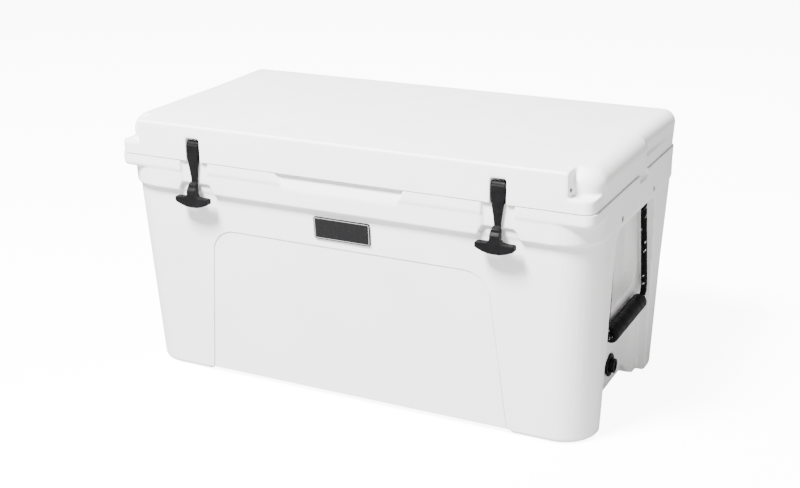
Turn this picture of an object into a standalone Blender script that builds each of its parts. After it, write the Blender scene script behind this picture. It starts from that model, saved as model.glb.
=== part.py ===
"""Hard cooler with a hinged lid, rubber T latches, rope handles and a drain plug.

Run with: blender --background --python part.py
Metres, +Z up. The origin is at the bottom centre; +X is the drain end and -Y the front.
"""

import math

import bmesh
import bpy
from mathutils import Matrix, Vector

# Overall sizes
HALF_LENGTH = 0.4225  # of the lid and of the body's rim
FRONT = -0.2215  # front face of the lid and the rim
REAR = 0.2255  # rear face of the lid and the rim
HEIGHT = 0.458
RIM_TOP = 0.3962
LID_BOTTOM = 0.3978
END_MID = 0.007  # Y of the middle of the end bays, handles and drain
CLEARANCE = 0.0003  # between pieces that touch
SHY = 0.0002  # a face that another shape of the same piece carries on from
BEYOND = 0.05  # how far a cutter runs past the surface it opens

# Body
SKIN = 0.005
FOOT_BOTTOM = 0.0015
BELLY = 0.008  # underside between the feet
LEAN_TOP = 0.392
CORNER_RADIUS = 0.060
RIM_REAR_RADIUS = 0.027  # the rear corners tighten from the foot up to the rim
BAND_BOTTOM = 0.343
LEDGE_BOTTOM = 0.375
LINER_FLOOR = 0.048
LINER_RADIUS = 0.040
FOAM_BOTTOM = 0.0135
FOAM_TOP = 0.384
FILL_RADIUS = 0.015

# End bays and rope handles
BAY_WALL = 0.396
BAY_POCKET_WALL = 0.3735
BAY_POCKET_FLOOR = 0.174
BAY_TOP_HALF = 0.108
BAY_LOW_HALF = 0.130
BAY_TOP = 0.335
BAY_LEAN = 0.100  # how fast the wall under the pocket draws in towards the foot
ROPE_RADIUS = 0.0057
ROPE_HALF_SPAN = 0.086
ROPE_AXIS_X = 0.4065
ROPE_AXIS_Z = 0.316
LEG_KINK_HALF_SPAN = 0.097  # where the leg, leaning out from its hinge, turns upright
LEG_KINK_Z = 0.225
ELBOW_HALF_SPAN = 0.105
ELBOW_RADIUS = 0.020
GRIP_X = 0.409
GRIP_Z = 0.151
GRIP_HALF = 0.083
GRIP_RADIUS = 0.0135
GRIP_BORE = 0.0062
STUB_TOP = 0.371
STUB_CLEARANCE = 0.0076  # from the hinge up to the foot of the rope's fixed end
SCREW_Z = 0.351
SCREW_HEAD_RADIUS = 0.0043
SCREW_SHANK_RADIUS = 0.0022

# Hinge
HINGE_Y = REAR + 0.001
HINGE_Z = 0.397
BARREL_RADIUS = 0.0085
BARREL_POCKET = 0.0095
HINGE_PIN_RADIUS = 0.003
HINGE_BORE = 0.0034
HINGE_X = 0.240
KNUCKLE = 0.040  # pitch of the three knuckles of a hinge
KNUCKLE_GAP = 0.001

# Lid
LID_LEDGE_TOP = 0.418
LID_EDGE_RADIUS = 0.022
LID_REAR_RADIUS = 0.022
LID_END_INSET = 0.0025  # of the lid's ends behind their step
NOTCH_X = 0.381
NOTCH_DEPTH = 0.021
PANEL_BOTTOM = 0.386
LID_FOAM_BOTTOM = 0.4085
LID_FOAM_TOP = 0.4525
LID_FILL_RADIUS = 0.012
GASKET_TOP = 0.4033
GASKET_BOTTOM = 0.3966
GASKET_WIDTH = 0.010

# Latches
LATCH_X = 0.272
LATCH_AXIS_Y = FRONT + 0.007
LATCH_AXIS_Z = 0.425
LATCH_BARREL = 0.0065
LATCH_PIN_RADIUS = 0.0025
LATCH_BORE = 0.0028
LATCH_RECESS_HALF = 0.0145
LATCH_RECESS_TOP = 0.436
LATCH_RECESS_DEPTH = 0.015

# Drain
DRAIN_Z = 0.061
DRAIN_SEAT = 0.3815
DRAIN_HOLE = 0.012
DRAIN_BORE = 0.0093
DRAIN_SHANK = 0.009

PARTS = None
CUTTERS = None


def clear_scene():
    for thing in list(bpy.data.objects):
        bpy.data.objects.remove(thing)


def new_collection(name):
    collection = bpy.data.collections.new(name)
    bpy.context.scene.collection.children.link(collection)
    return collection


def material(name, colour, roughness, metallic=0.0):
    made = bpy.data.materials.new(name)
    made.use_nodes = True
    shader = made.node_tree.nodes["Principled BSDF"]
    shader.inputs["Base Color"].default_value = (*colour, 1.0)
    shader.inputs["Roughness"].default_value = roughness
    shader.inputs["Metallic"].default_value = metallic
    return made


# Shapes

def rounded(corners, steps=5):
    """Points of a closed outline in which each (x, y, radius) corner becomes an arc."""
    points = []
    for index, (x, y, radius) in enumerate(corners):
        corner = Vector((x, y))
        if radius == 0:
            points.append(corner)
            continue
        back = (Vector(corners[index - 1][:2]) - corner).normalized()
        ahead = (Vector(corners[(index + 1) % len(corners)][:2]) - corner).normalized()
        half = back.angle(ahead) / 2
        centre = corner + (back + ahead).normalized() * (radius / math.sin(half))
        first = corner + back * (radius / math.tan(half)) - centre
        last = corner + ahead * (radius / math.tan(half)) - centre
        start = math.atan2(first.y, first.x)
        sweep = math.atan2(last.y, last.x) - start
        sweep = (sweep + math.pi) % math.tau - math.pi
        for step in range(steps + 1):
            angle = start + sweep * step / steps
            points.append(centre + radius * Vector((math.cos(angle), math.sin(angle))))
    return points


def mirrored(corners):
    """A half outline's corners, followed by their mirror images in the other half."""
    return corners + [(-x, y, radius) for x, y, radius in reversed(corners)]


def rectangle(half_width, low, high, radius):
    return mirrored([(half_width, low, radius), (half_width, high, radius)])


def to_mesh(holder):
    """Replaces a curve object with a mesh in world coordinates, its caps welded."""
    bpy.context.view_layer.update()
    graph = bpy.context.evaluated_depsgraph_get()
    mesh = bpy.data.meshes.new_from_object(holder.evaluated_get(graph))
    mesh.transform(holder.matrix_world)
    name = holder.name
    bpy.data.objects.remove(holder)
    return mesh_object(name, mesh)


def mesh_object(name, mesh):
    """An object of a mesh, welded and with its faces pointing out."""
    work = bmesh.new()
    work.from_mesh(mesh)
    bmesh.ops.remove_doubles(work, verts=work.verts, dist=1e-5)
    bmesh.ops.recalc_face_normals(work, faces=work.faces)
    work.to_mesh(mesh)
    work.free()
    mesh.name = name
    made = bpy.data.objects.new(name, mesh)
    PARTS.objects.link(made)
    return made


# Turns that carry an outline's plane to the plane across an axis
ACROSS = {
    "X": Matrix(((0, 0, 1, 0), (1, 0, 0, 0), (0, 1, 0, 0), (0, 0, 0, 1))),
    "Y": Matrix.Rotation(math.pi / 2, 4, "X"),
    "Z": Matrix.Identity(4),
}
ALONG = {"X": Vector((1, 0, 0)), "Y": Vector((0, 1, 0)), "Z": Vector((0, 0, 1))}


def prism(name, outline, axis, low, high):
    """A flat outline, extruded from low to high along an axis."""
    curve = bpy.data.curves.new(name, "CURVE")
    curve.dimensions = "2D"
    curve.fill_mode = "BOTH"
    curve.extrude = (high - low) / 2
    spline = curve.splines.new("POLY")
    spline.points.add(len(outline) - 1)
    for point, place in zip(spline.points, outline):
        point.co = (place[0], place[1], 0, 1)
    spline.use_cyclic_u = True
    holder = bpy.data.objects.new(name, curve)
    PARTS.objects.link(holder)
    holder.matrix_world = Matrix.Translation(ALONG[axis] * (low + high) / 2) @ ACROSS[axis]
    return to_mesh(holder)


def move_points(thing, rule):
    for vertex in thing.data.vertices:
        vertex.co = rule(vertex.co.copy())
    return thing


def leaning_block(name, low, high, ends, front, rear, radius, rear_radius=None):
    """A block with round upright edges and leaning walls, each wall a function of z."""
    def outline_at(z):
        behind = rear_radius(z) if rear_radius else radius
        return rounded(mirrored([(ends(z), front(z), radius), (ends(z), rear(z), behind)]))

    head = outline_at(high)
    foot = outline_at(low)

    def lean(place):
        if place.z > (low + high) / 2:
            return place
        nearest = min(
            range(len(head)), key=lambda index: math.dist(head[index], (place.x, place.y)))
        return Vector((*foot[nearest], low))

    return move_points(prism(name, head, "Z", low, high), lean)


def box(name, x, y, z):
    """A box from (low, high) pairs."""
    work = bmesh.new()
    size = Vector((x[1] - x[0], y[1] - y[0], z[1] - z[0]))
    centre = Vector((x[0] + x[1], y[0] + y[1], z[0] + z[1])) / 2
    matrix = Matrix.Translation(centre) @ Matrix.Diagonal((*size, 1))
    bmesh.ops.create_cube(work, size=1, matrix=matrix)
    mesh = bpy.data.meshes.new(name)
    work.to_mesh(mesh)
    work.free()
    return mesh_object(name, mesh)


def cylinder(name, radius, start, end, sides=24):
    """A cylinder between two points."""
    start = Vector(start)
    end = Vector(end)
    work = bmesh.new()
    turn = (end - start).to_track_quat("Z", "Y").to_matrix().to_4x4()
    matrix = Matrix.Translation((start + end) / 2) @ turn
    bmesh.ops.create_cone(
        work, cap_ends=True, segments=sides, radius1=radius, radius2=radius,
        depth=(end - start).length, matrix=matrix)
    mesh = bpy.data.meshes.new(name)
    work.to_mesh(mesh)
    work.free()
    return mesh_object(name, mesh)


def tube(name, points, radius, shares=None, resolution=3):
    """A round bar along points; shares scales its radius at each of them."""
    curve = bpy.data.curves.new(name, "CURVE")
    curve.dimensions = "3D"
    curve.bevel_depth = radius
    curve.bevel_resolution = resolution
    curve.use_fill_caps = True
    curve.twist_mode = "MINIMUM"
    spline = curve.splines.new("POLY")
    spline.points.add(len(points) - 1)
    for index, place in enumerate(points):
        spline.points[index].co = (*place, 1)
        spline.points[index].radius = shares[index] if shares else 1.0
    holder = bpy.data.objects.new(name, curve)
    PARTS.objects.link(holder)
    return to_mesh(holder)


# Joining and cutting

def boolean(target, other, operation):
    modifier = target.modifiers.new(f"{operation} {other.name}", "BOOLEAN")
    modifier.operation = operation
    modifier.object = other
    if other.name in PARTS.objects:
        PARTS.objects.unlink(other)
        CUTTERS.objects.link(other)
    other.hide_render = True
    other.display_type = "WIRE"


def join(target, *others):
    for other in others:
        boolean(target, other, "UNION")


def cut(target, *others):
    for other in others:
        boolean(target, other, "DIFFERENCE")


def finish(thing, look, pivot=None, parent=None):
    """Gives a piece its material, puts its origin on its joint's axis and parents it."""
    thing.data.materials.clear()
    thing.data.materials.append(look)
    if pivot is not None:
        thing.data.transform(Matrix.Translation(-Vector(pivot)))
        thing.location = pivot
    if parent is not None:
        thing.parent = parent
        thing.matrix_parent_inverse = Matrix.Translation(-parent.location)
    return thing


def pivot_empty(name, place, parent=None):
    empty = bpy.data.objects.new(name, None)
    PARTS.objects.link(empty)
    empty.location = place
    if parent is not None:
        empty.parent = parent
        empty.matrix_parent_inverse = Matrix.Translation(-parent.location)
    return empty


# The walls, as functions of height

def end_wall(z):
    return 0.4130 + 0.0239 * z


def front_wall(z):
    return -0.1865 - 0.0693 * z


def rear_wall(z):
    return 0.2115 + 0.0353 * z


def rear_corner(z):
    share = z / LEAN_TOP
    return CORNER_RADIUS + share * (RIM_REAR_RADIUS - CORNER_RADIUS)


def liner_end(z):
    return 0.3276 + 0.0440 * z


def liner_front(z):
    return -0.1430 - 0.0366 * z


def liner_rear(z):
    return 0.1530 + 0.0366 * z


def foam_space(name, inset):
    """The room between the outer wall and the liner, drawn in by inset from the skin."""
    space = leaning_block(
        name, FOAM_BOTTOM - SKIN + inset, FOAM_TOP + SKIN - inset,
        lambda z: end_wall(z) - inset,
        lambda z: front_wall(z) + inset,
        lambda z: rear_wall(z) - inset,
        CORNER_RADIUS - inset)
    liner = leaning_block(
        name + "_liner", LINER_FLOOR - inset, HEIGHT,
        lambda z: liner_end(z) + inset,
        lambda z: liner_front(z) - inset,
        lambda z: liner_rear(z) + inset,
        LINER_RADIUS + inset)
    cut(space, liner)
    for side, end in SIDES:
        bay = box(
            f"{name}_bay_{side}",
            sorted((end * (BAY_POCKET_WALL - inset), end * (HALF_LENGTH + BEYOND))),
            (END_MID - BAY_LOW_HALF - inset, END_MID + BAY_LOW_HALF + inset),
            (-BEYOND, HEIGHT))
        cut(space, bay)
    sleeve = cylinder(
        name + "_drain", DRAIN_HOLE + inset,
        (liner_end(DRAIN_Z) - BEYOND, END_MID, DRAIN_Z), (HALF_LENGTH, END_MID, DRAIN_Z))
    cut(space, sleeve)
    return space


SIDES = (("left", -1), ("right", 1))


def body_outer():
    """The leaning tub, its proud band and the rim ledge that reaches into the front corners."""
    tub = leaning_block(
        "body_skin", FOOT_BOTTOM, LEAN_TOP, end_wall, front_wall, rear_wall, CORNER_RADIUS,
        rear_corner)
    band = leaning_block(
        "band", BAND_BOTTOM, LEDGE_BOTTOM + 0.005,
        lambda z: HALF_LENGTH - SHY,
        lambda z: FRONT + SHY + 0.08 * (LEDGE_BOTTOM + 0.005 - z),
        lambda z: REAR - SHY,
        CORNER_RADIUS,
        lambda z: RIM_REAR_RADIUS + SHY)
    ledge = prism("rim_ledge", rounded(ledge_corners()), "Z", LEDGE_BOTTOM, RIM_TOP)
    join(tub, band, ledge)
    return tub


def ledge_corners():
    return mirrored([(HALF_LENGTH, FRONT, 0.016), (HALF_LENGTH, REAR, RIM_REAR_RADIUS)])


def cut_bays(tub):
    """A hand bay in each end, open at the bottom, with a deeper pocket behind the rope."""
    outer = HALF_LENGTH + BEYOND
    for side, end in SIDES:
        opening = [
            (END_MID + BAY_LOW_HALF, -BEYOND, 0),
            (END_MID + BAY_TOP_HALF, BAY_TOP, 0.025),
            (END_MID - BAY_TOP_HALF, BAY_TOP, 0.025),
            (END_MID - BAY_LOW_HALF, -BEYOND, 0)]
        bay = prism(
            f"bay_{side}", rounded(opening), "X", *sorted((end * BAY_WALL, end * outer)))
        pocket = [
            (END_MID + 0.106, BAY_POCKET_FLOOR, 0.025),
            (END_MID + 0.104, BAY_TOP, 0.023),
            (END_MID - 0.104, BAY_TOP, 0.023),
            (END_MID - 0.106, BAY_POCKET_FLOOR, 0.025)]
        deep = prism(
            f"bay_pocket_{side}", rounded(pocket), "X",
            *sorted((end * BAY_POCKET_WALL, end * outer)))
        wedge = box(
            f"bay_wedge_{side}", sorted((end * 0.390, end * outer)),
            (END_MID - 0.112, END_MID + 0.112), (-BEYOND, BAY_POCKET_FLOOR - 0.002))
        move_points(wedge, slope_inward)
        arch = prism(
            f"foot_arch_{side}",
            rounded([
                (END_MID + 0.120, -BEYOND, 0), (END_MID + 0.108, 0.022, 0.010),
                (END_MID - 0.108, 0.022, 0.010), (END_MID - 0.120, -BEYOND, 0)]),
            "X", *sorted((end * 0.375, end * outer)))
        cut(tub, bay, deep, wedge, arch)


def slope_inward(place):
    """Leans the wedge's inner face from the bay wall, at its top, in towards the bottom."""
    if abs(place.x) < BAY_WALL:
        drop = BAY_POCKET_FLOOR - place.z
        place.x = math.copysign(BAY_WALL - BAY_LEAN * drop, place.x)
    return place


def cut_front(tub):
    """The recessed front panel, the finger scoop, and a channel under each latch."""
    panel = prism(
        "front_panel",
        rounded([
            (0.284, -BEYOND, 0), (0.250, 0.278, 0.040),
            (-0.250, 0.278, 0.040), (-0.284, -BEYOND, 0)]),
        "Y", FRONT - BEYOND, 0)

    def follow_wall(place):
        if place.y > FRONT:
            place.y = front_wall(place.z) + 0.0018
        return place

    cut(tub, move_points(panel, follow_wall))
    scoop_low = 0.366
    scoop = prism(
        "finger_scoop",
        rounded([
            (0.124, RIM_TOP + 0.01, 0), (0.098, scoop_low, 0.006),
            (-0.098, scoop_low, 0.006), (-0.124, RIM_TOP + 0.01, 0)]),
        "Y", FRONT - BEYOND, 0)

    def slant(place):
        if place.y > FRONT:
            place.y = FRONT + 0.0005 + 0.25 * (place.z - scoop_low)
        return place

    cut(tub, move_points(scoop, slant))
    for side, end in SIDES:
        middle = end * LATCH_X
        channel = box(
            f"latch_channel_{side}", (middle - 0.0265, middle + 0.0265),
            (FRONT - BEYOND, FRONT + 0.005), (BAND_BOTTOM - 0.01, RIM_TOP + 0.01))
        notch = prism(
            f"band_notch_{side}",
            rounded([
                (middle + 0.040, BAND_BOTTOM - 0.01, 0), (middle + 0.029, 0.357, 0.004),
                (middle - 0.029, 0.357, 0.004), (middle - 0.040, BAND_BOTTOM - 0.01, 0)]),
            "Y", FRONT - BEYOND, front_wall(0.350) - 0.0006)
        cut(tub, channel, notch)


def knuckle_span(middle, place):
    """The X range of one of a hinge's three knuckles: place is -1, 0 or 1."""
    centre = middle + place * KNUCKLE
    half = (KNUCKLE - KNUCKLE_GAP) / 2
    return centre - half, centre + half


def barrel(name, radius, span):
    return cylinder(name, radius, (span[0], HINGE_Y, HINGE_Z), (span[1], HINGE_Y, HINGE_Z), 20)


def make_hinge(tub, lid, steel):
    """Two hinges of three knuckles, the middle one on the lid, each with a steel rod."""
    for side, end in SIDES:
        middle = end * HINGE_X
        for place in (-1, 0, 1):
            owner, other = (lid, tub) if place == 0 else (tub, lid)
            low, high = knuckle_span(middle, place)
            room = (low - KNUCKLE_GAP / 2, high + KNUCKLE_GAP / 2)
            cut(other, barrel(f"barrel_room_{side}_{place + 2}", BARREL_POCKET, room))
            join(owner, barrel(f"knuckle_{side}_{place + 2}", BARREL_RADIUS, (low, high)))
        whole = (middle - 1.6 * KNUCKLE, middle + 1.6 * KNUCKLE)
        bore = barrel(f"hinge_bore_{side}", HINGE_BORE, whole)
        cut(tub, bore)
        cut(lid, bore)
        rod = barrel(
            f"hinge_pin_{side}", HINGE_PIN_RADIUS,
            (middle - 1.49 * KNUCKLE, middle + 1.49 * KNUCKLE))
        finish(rod, steel)


def cut_liner_and_foam(tub):
    liner = leaning_block(
        "liner", LINER_FLOOR, HEIGHT, liner_end, liner_front, liner_rear, LINER_RADIUS)
    space = foam_space("foam_room", SKIN)
    fill = cylinder(
        "fill_hole", FILL_RADIUS, (0, END_MID, -BEYOND), (0, END_MID, FOAM_BOTTOM + 0.01))
    drain = cylinder(
        "drain_hole", DRAIN_HOLE, (liner_end(DRAIN_Z) - 0.01, END_MID, DRAIN_Z),
        (HALF_LENGTH, END_MID, DRAIN_Z))
    seat = cylinder(
        "drain_seat", 0.021, (DRAIN_SEAT, END_MID, DRAIN_Z),
        (HALF_LENGTH + BEYOND, END_MID, DRAIN_Z), 32)
    belly = box("belly", (-0.284, 0.284), (-0.3, 0.3), (-BEYOND, BELLY))
    cut(tub, liner, space, fill, drain, seat, belly)


def make_feet(tub, rubber):
    """A rubber pad in a shallow pocket under each corner."""
    for row, y in (("front", front_wall(0) + 0.045), ("rear", rear_wall(0) - 0.045)):
        for side, end in SIDES:
            x = end * 0.350
            corners = [
                (x + 0.035, y - 0.025, 0.010), (x + 0.035, y + 0.025, 0.010),
                (x - 0.035, y + 0.025, 0.010), (x - 0.035, y - 0.025, 0.010)]
            pad = prism(f"foot_pad_{row}_{side}", rounded(corners, 3), "Z", 0, 0.004)
            room = box(
                f"foot_room_{row}_{side}", (x - 0.0353, x + 0.0353),
                (y - 0.0253, y + 0.0253), (-BEYOND, 0.004 + CLEARANCE))
            cut(tub, room)
            finish(pad, rubber)


def make_name_plate(black):
    """A blank plate that lies on the leaning front wall under the band."""
    height = 0.311
    thickness = 0.002
    outline = rounded(rectangle(0.051, -0.019, 0.019, 0.004), 3)
    plate = prism("name_plate", outline, "Y", -thickness / 2, thickness / 2)
    lean = math.atan(0.0693)
    place = Vector((0, front_wall(height) - CLEARANCE * 1.4 - thickness / 2, height))
    plate.data.transform(Matrix.Translation(place) @ Matrix.Rotation(lean, 4, "X"))
    finish(plate, black)


# Rope handles

def handle_route(end):
    """The rope's centre line: down from its hinge, round an elbow and through the grip."""
    half = [
        Vector((ROPE_AXIS_X, ROPE_HALF_SPAN, ROPE_AXIS_Z)),
        Vector((GRIP_X - 0.0005, LEG_KINK_HALF_SPAN, LEG_KINK_Z))]
    for step in range(7):
        angle = math.pi / 2 * step / 6
        half.append(Vector((
            GRIP_X,
            ELBOW_HALF_SPAN - ELBOW_RADIUS * (1 - math.cos(angle)),
            GRIP_Z + ELBOW_RADIUS * (1 - math.sin(angle)))))
    other = [Vector((place.x, -place.y, place.z)) for place in reversed(half)]
    return [Vector((end * place.x, place.y + END_MID, place.z)) for place in half + other]


def make_handle(side, end, rope_look, grip_look):
    """A rope that turns about its two ends under the lip, with a moulded grip on it."""
    pivot = (end * ROPE_AXIS_X, END_MID, ROPE_AXIS_Z)
    empty = pivot_empty(f"handle_{side}_pivot", pivot)
    route = handle_route(end)
    dome = [(0.97, 0.243), (0.80, 0.600), (0.45, 0.893)]
    first = [route[0] + Vector((0, 0, ROPE_RADIUS * rise)) for rise, _ in dome]
    last = [route[-1] + Vector((0, 0, ROPE_RADIUS * rise)) for rise, _ in reversed(dome)]
    shares = [share for _, share in dome] + [1.0] * len(route)
    shares += [share for _, share in reversed(dome)]
    rope = tube(f"handle_rope_{side}", first + route + last, ROPE_RADIUS, shares)
    finish(rope, rope_look, pivot, empty)
    def along_grip(name, radius, reach):
        return cylinder(
            f"{name}_{side}", radius, (end * GRIP_X, END_MID - reach, GRIP_Z),
            (end * GRIP_X, END_MID + reach, GRIP_Z), 28)

    grip = along_grip("handle_grip", GRIP_RADIUS, GRIP_HALF)
    cut(grip, along_grip("grip_bore", GRIP_BORE, GRIP_HALF + 0.01))
    finish(grip, grip_look, pivot, empty)


def make_rope_ends(tub, side, end, rope_look, steel):
    """The rope's fixed ends, each up a hole in the lip and held by a screw from outside."""
    for row, along in (("front", -1), ("rear", 1)):
        y = END_MID + along * ROPE_HALF_SPAN
        x = end * ROPE_AXIS_X
        hole = cylinder(
            f"rope_hole_{row}_{side}", 0.007, (x, y, BAY_TOP - 0.01),
            (x, y, STUB_TOP + CLEARANCE), 16)
        stub = cylinder(
            f"rope_end_{row}_{side}", ROPE_RADIUS, (x, y, ROPE_AXIS_Z + STUB_CLEARANCE),
            (x, y, STUB_TOP), 12)
        face = HALF_LENGTH - 0.0002
        bore = cylinder(
            f"screw_bore_{row}_{side}", SCREW_SHANK_RADIUS + CLEARANCE,
            (end * 0.3875, y, SCREW_Z), (end * (face + 0.01), y, SCREW_Z), 12)
        sink = cylinder(
            f"screw_sink_{row}_{side}", SCREW_HEAD_RADIUS + 0.0006,
            (end * (face - 0.0028), y, SCREW_Z), (end * (face + 0.01), y, SCREW_Z), 16)
        screw = cylinder(
            f"handle_screw_{row}_{side}", SCREW_HEAD_RADIUS,
            (end * (face - 0.0025), y, SCREW_Z), (end * face, y, SCREW_Z), 16)
        shank = cylinder(
            f"screw_shank_{row}_{side}", SCREW_SHANK_RADIUS,
            (end * 0.388, y, SCREW_Z), (end * (face - 0.001), y, SCREW_Z), 12)
        cut(tub, hole, bore, sink)
        cut(stub, bore)
        join(screw, shank)
        finish(stub, rope_look)
        finish(screw, steel)


# Lid

def upper_lid_corners():
    """The lid above its ledge: stepped back at the front corners, set in along the rear end."""
    end = HALF_LENGTH - SHY
    inset = HALF_LENGTH - LID_END_INSET
    return mirrored([
        (NOTCH_X, FRONT + SHY, 0.004),
        (NOTCH_X, FRONT + NOTCH_DEPTH, 0.002),
        (end, FRONT + NOTCH_DEPTH, 0.031),
        (end, 0.047, 0.002),
        (inset, 0.051, 0.001),
        (inset, REAR - SHY, LID_REAR_RADIUS)])


def lid_foam_block(name, inset):
    """The room in the lid, narrower at its top where the outer edges are round."""
    rise = LID_FOAM_TOP - LID_FOAM_BOTTOM
    return leaning_block(
        name, LID_FOAM_BOTTOM + inset, LID_FOAM_TOP - inset,
        lambda z: 0.410 - inset - 0.012 * (z - LID_FOAM_BOTTOM) / rise,
        lambda z: FRONT + 0.020 + inset + 0.010 * (z - LID_FOAM_BOTTOM) / rise,
        lambda z: REAR - 0.012 - inset - 0.010 * (z - LID_FOAM_BOTTOM) / rise,
        0.050 - inset)


def make_lid_shell():
    lid = prism("lid_skin", rounded(upper_lid_corners()), "Z", 0.400, HEIGHT + 0.01)
    pillow = box(
        "lid_pillow", (-HALF_LENGTH - SHY, HALF_LENGTH + SHY), (FRONT - SHY, REAR + SHY),
        (0.30, HEIGHT))
    edges = pillow.modifiers.new("Round edges", "BEVEL")
    edges.width = LID_EDGE_RADIUS
    edges.segments = 5
    edges.limit_method = "NONE"
    boolean(lid, pillow, "INTERSECT")
    ledge = prism("lid_ledge", rounded(ledge_corners()), "Z", LID_BOTTOM, LID_LEDGE_TOP)
    panel = prism(
        "lid_panel", rounded(rectangle(0.338, -0.1505, 0.1605, 0.036)), "Z",
        PANEL_BOTTOM, 0.4005)
    join(lid, ledge, panel)
    return lid


def gasket_ring(name, margin, low, high):
    """A closed ring that lies on the rim, margin wider on both sides."""
    half = GASKET_WIDTH / 2 + margin
    outer = prism(
        name, rounded(rectangle(0.365 + half, -0.178 - half, 0.188 + half, 0.055 + half), 6),
        "Z", low, high)
    inner = prism(
        name + "_inside",
        rounded(rectangle(0.365 - half, -0.178 + half, 0.188 - half, 0.055 - half), 6),
        "Z", low - 0.01, high + 0.01)
    cut(outer, inner)
    return outer


def make_lid(lid, parent, looks):
    """The lid's own pieces and the hollows they sit in."""
    pivot = (0, HINGE_Y, HINGE_Z)
    groove = gasket_ring("gasket_groove", CLEARANCE, LID_BOTTOM - 0.01, GASKET_TOP + CLEARANCE)
    room = lid_foam_block("lid_foam_room", 0)
    fill = cylinder(
        "lid_fill_hole", LID_FILL_RADIUS, (0, END_MID, PANEL_BOTTOM - 0.01),
        (0, END_MID, LID_FOAM_BOTTOM + 0.01))
    cut(lid, groove, room, fill)
    plug = cylinder(
        "lid_foam_plug", LID_FILL_RADIUS - CLEARANCE, (0, END_MID, PANEL_BOTTOM + 0.0005),
        (0, END_MID, LID_FOAM_BOTTOM - 0.0003))
    finish(plug, looks["plug"], pivot, parent)
    finish(lid_foam_block("lid_foam", CLEARANCE), looks["foam"], pivot, parent)
    gasket = gasket_ring("lid_gasket", 0, GASKET_BOTTOM, GASKET_TOP)
    finish(gasket, looks["gasket"], pivot, parent)
    for side, end in SIDES:
        y = FRONT + 0.0105
        z = 0.429
        hole = cylinder(
            f"corner_screw_hole_{side}", 0.0016 + CLEARANCE, (end * 0.368, y, z),
            (end * (NOTCH_X + 0.01), y, z), 10)
        screw = cylinder(
            f"lid_corner_screw_{side}", 0.003, (end * (NOTCH_X + CLEARANCE), y, z),
            (end * (NOTCH_X + 0.0022), y, z), 12)
        shank = cylinder(
            f"corner_screw_shank_{side}", 0.0016, (end * 0.3685, y, z),
            (end * (NOTCH_X + 0.001), y, z), 10)
        cut(lid, hole)
        join(screw, shank)
        finish(screw, looks["steel"], pivot, parent)


# Latches

def make_latch(lid, lid_pivot, side, end, looks):
    """A rubber strap that turns on a pin in the lid, with a T pull at its lower end."""
    middle = end * LATCH_X
    recess = box(
        f"strap_recess_{side}",
        (middle - LATCH_RECESS_HALF, middle + LATCH_RECESS_HALF),
        (FRONT - BEYOND, FRONT + LATCH_RECESS_DEPTH), (LID_BOTTOM - 0.01, LATCH_RECESS_TOP))
    pin_bore = cylinder(
        f"latch_pin_bore_{side}", LATCH_PIN_RADIUS + CLEARANCE,
        (middle - 0.0205, LATCH_AXIS_Y, LATCH_AXIS_Z),
        (middle + 0.0205, LATCH_AXIS_Y, LATCH_AXIS_Z), 14)
    cut(lid, recess, pin_bore)
    pin = cylinder(
        f"latch_pin_{side}", LATCH_PIN_RADIUS, (middle - 0.020, LATCH_AXIS_Y, LATCH_AXIS_Z),
        (middle + 0.020, LATCH_AXIS_Y, LATCH_AXIS_Z), 14)
    finish(pin, looks["steel"], (0, HINGE_Y, HINGE_Z), lid_pivot)

    half_outline = [
        (0.0130, LATCH_AXIS_Z, 0), (0.0128, 0.397, 0.010), (0.0060, 0.374, 0.012),
        (0.0055, 0.364, 0.003), (0.0100, 0.358, 0.002), (0.0100, 0.334, 0)]
    outline = rounded(mirrored(half_outline), 3)
    strap = prism(
        f"latch_{side}", [(x + middle, z) for x, z in outline], "Y",
        FRONT - 0.0015, FRONT + 0.0043)
    eye = cylinder(
        f"latch_eye_{side}", LATCH_BARREL, (middle - 0.013, LATCH_AXIS_Y, LATCH_AXIS_Z),
        (middle + 0.013, LATCH_AXIS_Y, LATCH_AXIS_Z), 20)
    half_pull = [(0.031, 0.332, 0.005), (0.031, 0.342, 0.004), (0.012, 0.342, 0.003)]
    stem = [(0.0095, 0.360, 0.004)]
    lower = [(0.012, 0.321, 0.012)]
    corners = mirrored(lower + half_pull + stem)
    pull = prism(
        f"latch_pull_{side}", [(x + middle, z) for x, z in rounded(corners, 4)], "Y",
        FRONT - 0.0135, FRONT - CLEARANCE)
    eye_bore = cylinder(
        f"latch_eye_bore_{side}", LATCH_BORE + 0.0002,
        (middle - 0.02, LATCH_AXIS_Y, LATCH_AXIS_Z), (middle + 0.02, LATCH_AXIS_Y, LATCH_AXIS_Z), 14)
    join(strap, eye, pull)
    cut(strap, eye_bore)
    pivot = (middle, LATCH_AXIS_Y, LATCH_AXIS_Z)
    finish(strap, looks["rubber"], pivot, pivot_empty(f"latch_{side}_pivot", pivot, lid_pivot))


# Drain

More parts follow.
